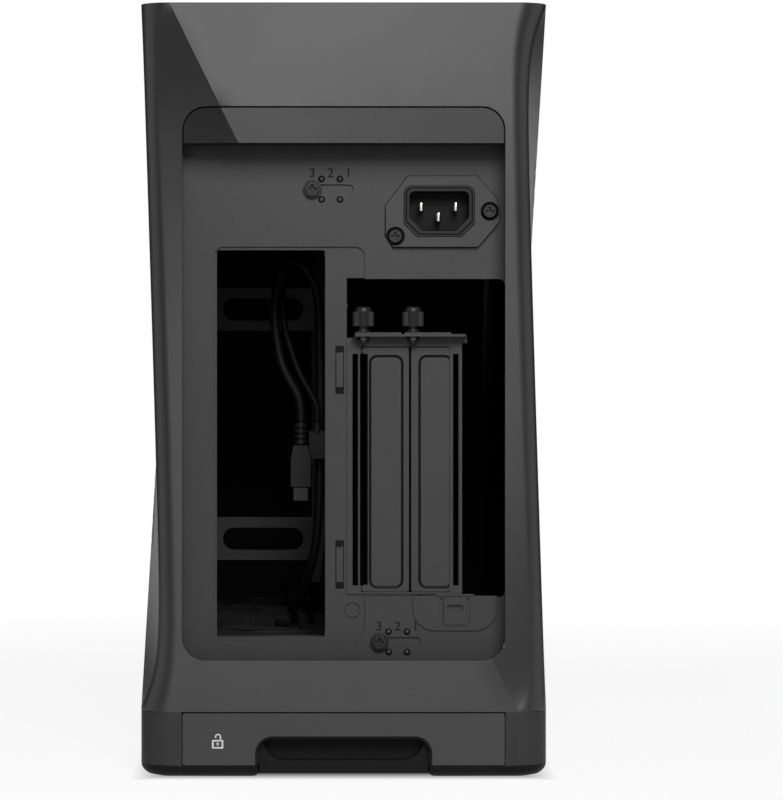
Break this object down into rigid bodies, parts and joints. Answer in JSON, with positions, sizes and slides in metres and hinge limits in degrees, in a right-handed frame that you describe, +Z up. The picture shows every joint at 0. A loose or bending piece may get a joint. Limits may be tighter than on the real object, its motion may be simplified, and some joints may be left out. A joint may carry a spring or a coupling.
{
  "type": "computer case",
  "caption": "Compact upright computer case with a lift-off leaning shell, slatted wooden top, sliding middle spine, mains inlet, card slots and bottom fans.",
  "frame": {"origin": "middle of the underside, on the surface it stands on", "axes": "+Z up; +Y from the rear face with the connectors towards the front; +X to the right seen from behind"},
  "size_m": [0.165, 0.366, 0.314],
  "materials": {
    "shell": "dark anodised, satin",
    "steel": "dark grey powder coat, fine matt",
    "plastic": "fine matt",
    "black": "matt",
    "rubber": "matt",
    "wood": "oiled, dark brown",
    "bright": "nickel plated",
    "blades": "nickel-plated contacts",
    "brass": "plain",
    "blackened": "black zinc",
    "board": "solder mask",
    "fan": "matt"
  },
  "bodies": {
    "chassis": {"base_tray": "plastic", "rubber_feet": "rubber", "dust_filter": "black", "floor_plate": "steel", "floor_screws": "bright", "fan_frame_rear": "fan", "fan_frame_front": "fan", "fan_screws": "bright", "rear_panel": "steel", "anchor_plate": "steel", "inlet_housing": "black", "inlet_blades": "blades", "inlet_screws": "blackened", "front_frame": "steel", "top_bracket": "steel", "bracket_screws": "blackened", "front_io_board": "board", "usb_c_port": "bright", "usb_a_ports": "bright", "audio_jack": "black", "power_switch": "black", "cable_grommet": "rubber", "usb_cable": "rubber", "usb_plug": "black", "panel_cable": "rubber", "panel_plug": "black"},
    "spine": {"spine_plate": "steel", "standoffs": "brass", "spine_rivet": "blackened", "position_screws": "blackened", "guide_screws": "blackened", "card_frame": "steel", "slot_cover_left": "steel", "slot_cover_right": "steel", "riser_board": "board", "riser_socket": "black", "supply_bracket": "steel", "bracket_bolts": "bright"},
    "lift_off_shell": {"outer_shell": "shell", "rear_trim": "plastic", "left_vent_panel": "shell", "right_vent_panel": "shell"},
    "top_board": {"top_panel": "wood"},
    "latch": {"base_latch": "plastic"},
    "button": {"power_button": "plastic"},
    "rear_rotor": {"fan_rotor_rear": "fan"},
    "front_rotor": {"fan_rotor_front": "fan"},
    "left_thumbscrew": {"thumbscrew_left": "blackened"},
    "right_thumbscrew": {"thumbscrew_right": "blackened"}
  },
  "joints": [
    {"name": "spine_shift", "type": "slide", "parent": "chassis", "child": "spine", "axis": [1, 0, 0], "range_m": [0, 0.015]},
    {"name": "shell_lift", "type": "slide", "parent": "chassis", "child": "lift_off_shell", "axis": [0, 0, 1], "range_m": [0, 0.24]},
    {"name": "top_lift", "type": "slide", "parent": "lift_off_shell", "child": "top_board", "axis": [0, 0, 1], "range_m": [0, 0.03]},
    {"name": "latch_pull", "type": "slide", "parent": "chassis", "child": "latch", "axis": [0, -1, 0], "range_m": [0, 0.015]},
    {"name": "button_press", "type": "slide", "parent": "chassis", "child": "button", "axis": [0, -1, 0], "range_m": [0, 0.0015], "stiffness_N_per_m": 400, "springref_m": -0.001},
    {"name": "rear_rotor_spin", "type": "hinge", "parent": "chassis", "child": "rear_rotor", "pos_m": [0, -0.061, 0.04], "axis": [0, 0, 1], "continuous": true},
    {"name": "front_rotor_spin", "type": "hinge", "parent": "chassis", "child": "front_rotor", "pos_m": [0, 0.061, 0.04], "axis": [0, 0, 1], "continuous": true},
    {"name": "left_thumbscrew_turn", "type": "hinge", "parent": "spine", "child": "left_thumbscrew", "pos_m": [0.00805, -0.1658, 0.18], "axis": [0, 0, 1], "continuous": true},
    {"name": "right_thumbscrew_turn", "type": "hinge", "parent": "spine", "child": "right_thumbscrew", "pos_m": [0.02837, -0.1658, 0.18], "axis": [0, 0, 1], "continuous": true}
  ]
}
